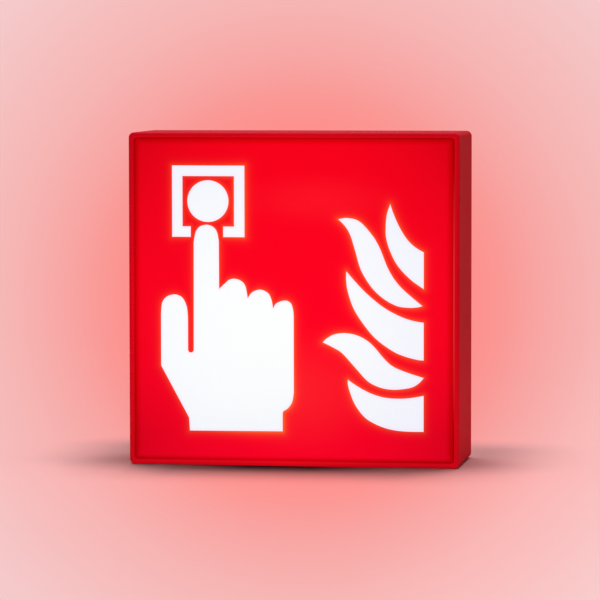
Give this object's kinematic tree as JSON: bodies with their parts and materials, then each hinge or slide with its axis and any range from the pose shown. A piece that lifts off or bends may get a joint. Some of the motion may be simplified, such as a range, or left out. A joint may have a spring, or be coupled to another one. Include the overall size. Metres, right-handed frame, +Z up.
{
  "type": "illuminated fire alarm call point sign",
  "caption": "Square illuminated fire alarm call point sign: a red light box with a lit hand, button and flames in its face, control gear, standby battery and wall plate.",
  "frame": {"origin": "middle of the underside, at floor level and at half depth", "axes": "+Z up, the lit face looks along -Y, the wall side along +Y, +X to the viewer's right"},
  "size_m": [0.2, 0.066, 0.2],
  "materials": {
    "red_housing": "moulded, satin gloss",
    "red_face": "translucent red acrylic, lit from behind",
    "opal_figure": "opal acrylic, lit from behind",
    "opal_sheet": "opal diffuser sheet",
    "foam_tape": "closed-cell foam",
    "white_reflector": "matt white, thermoformed",
    "white_board": "white solder mask on aluminium",
    "led_phosphor": "phosphor-filled silicone",
    "clear_lens": "clear moulded optic",
    "ivory_plastic": "moulded",
    "galvanised_steel": "zinc-plated sheet",
    "screw_steel": "zinc-plated",
    "black_rubber": "moulded",
    "green_board": "solder mask on glass epoxy",
    "brass_fittings": "plain",
    "ferrite": "ground ferrite",
    "copper_winding": "enamelled wire",
    "capacitor_sleeve": "heat-shrunk sleeve",
    "green_lens": "clear green moulding",
    "black_plastic": "moulded",
    "battery_sleeve": "heat-shrunk sleeve",
    "contact_nickel": "nickel-plated",
    "red_wire": "insulation",
    "black_wire": "insulation",
    "brown_wire": "insulation",
    "green_wire": "insulation"
  },
  "bodies": {
    "sign": {"housing": "red_housing", "face_panel": "red_face", "hand_figure": "opal_figure", "call_point_figure": "opal_figure", "button_figure": "opal_figure", "flame_tip_figure": "opal_figure", "flame_upper_figure": "opal_figure", "flame_middle_figure": "opal_figure", "flame_lower_figure": "opal_figure", "flame_base_figure": "opal_figure", "diffuser_sheet": "opal_sheet", "bonding_tape": "foam_tape", "reflector": "white_reflector", "led_board": "white_board", "led_packages": "led_phosphor", "led_lenses": "clear_lens", "led_connector": "ivory_plastic", "led_board_screws": "screw_steel", "gear_tray": "galvanised_steel", "gear_tray_screws": "screw_steel", "tray_grommet": "black_rubber", "driver_board": "green_board", "driver_standoffs": "brass_fittings", "driver_screws": "screw_steel", "transformer_core": "ferrite", "transformer_winding": "copper_winding", "capacitors": "capacitor_sleeve", "filter_choke": "copper_winding", "driver_connectors": "ivory_plastic", "status_led": "ivory_plastic", "status_light_pipe": "green_lens", "test_switch": "black_plastic", "test_button_spring": "screw_steel", "mode_switch": "black_plastic", "battery_holder": "black_plastic", "battery_holder_screws": "screw_steel", "battery_cells": "battery_sleeve", "battery_contacts": "contact_nickel", "battery_strap": "galvanised_steel", "battery_strap_screws": "screw_steel", "terminal_block": "ivory_plastic", "terminal_screws": "brass_fittings", "terminal_block_screws": "screw_steel", "earth_screw": "brass_fittings", "earth_tag": "contact_nickel", "led_wires": "red_wire", "battery_wires": "black_wire", "mains_wires": "brown_wire", "earth_wire": "green_wire", "wall_plate": "galvanised_steel", "wall_plate_seal": "foam_tape", "cable_grommet": "black_rubber", "case_screws": "screw_steel"},
    "button": {"test_button": "black_plastic"},
    "mode_slider": {"mode_switch_slider": "ivory_plastic"}
  },
  "joints": [
    {"name": "test_button_press", "type": "slide", "parent": "sign", "child": "button", "axis": [1, 0, 0], "range_m": [0, 0.0015], "stiffness_N_per_m": 800, "springref_m": -0.0008, "deforming": ["test_button_spring"]},
    {"name": "mode_switch_slide", "type": "slide", "parent": "sign", "child": "mode_slider", "axis": [1, 0, 0], "range_m": [0, 0.004]}
  ]
}
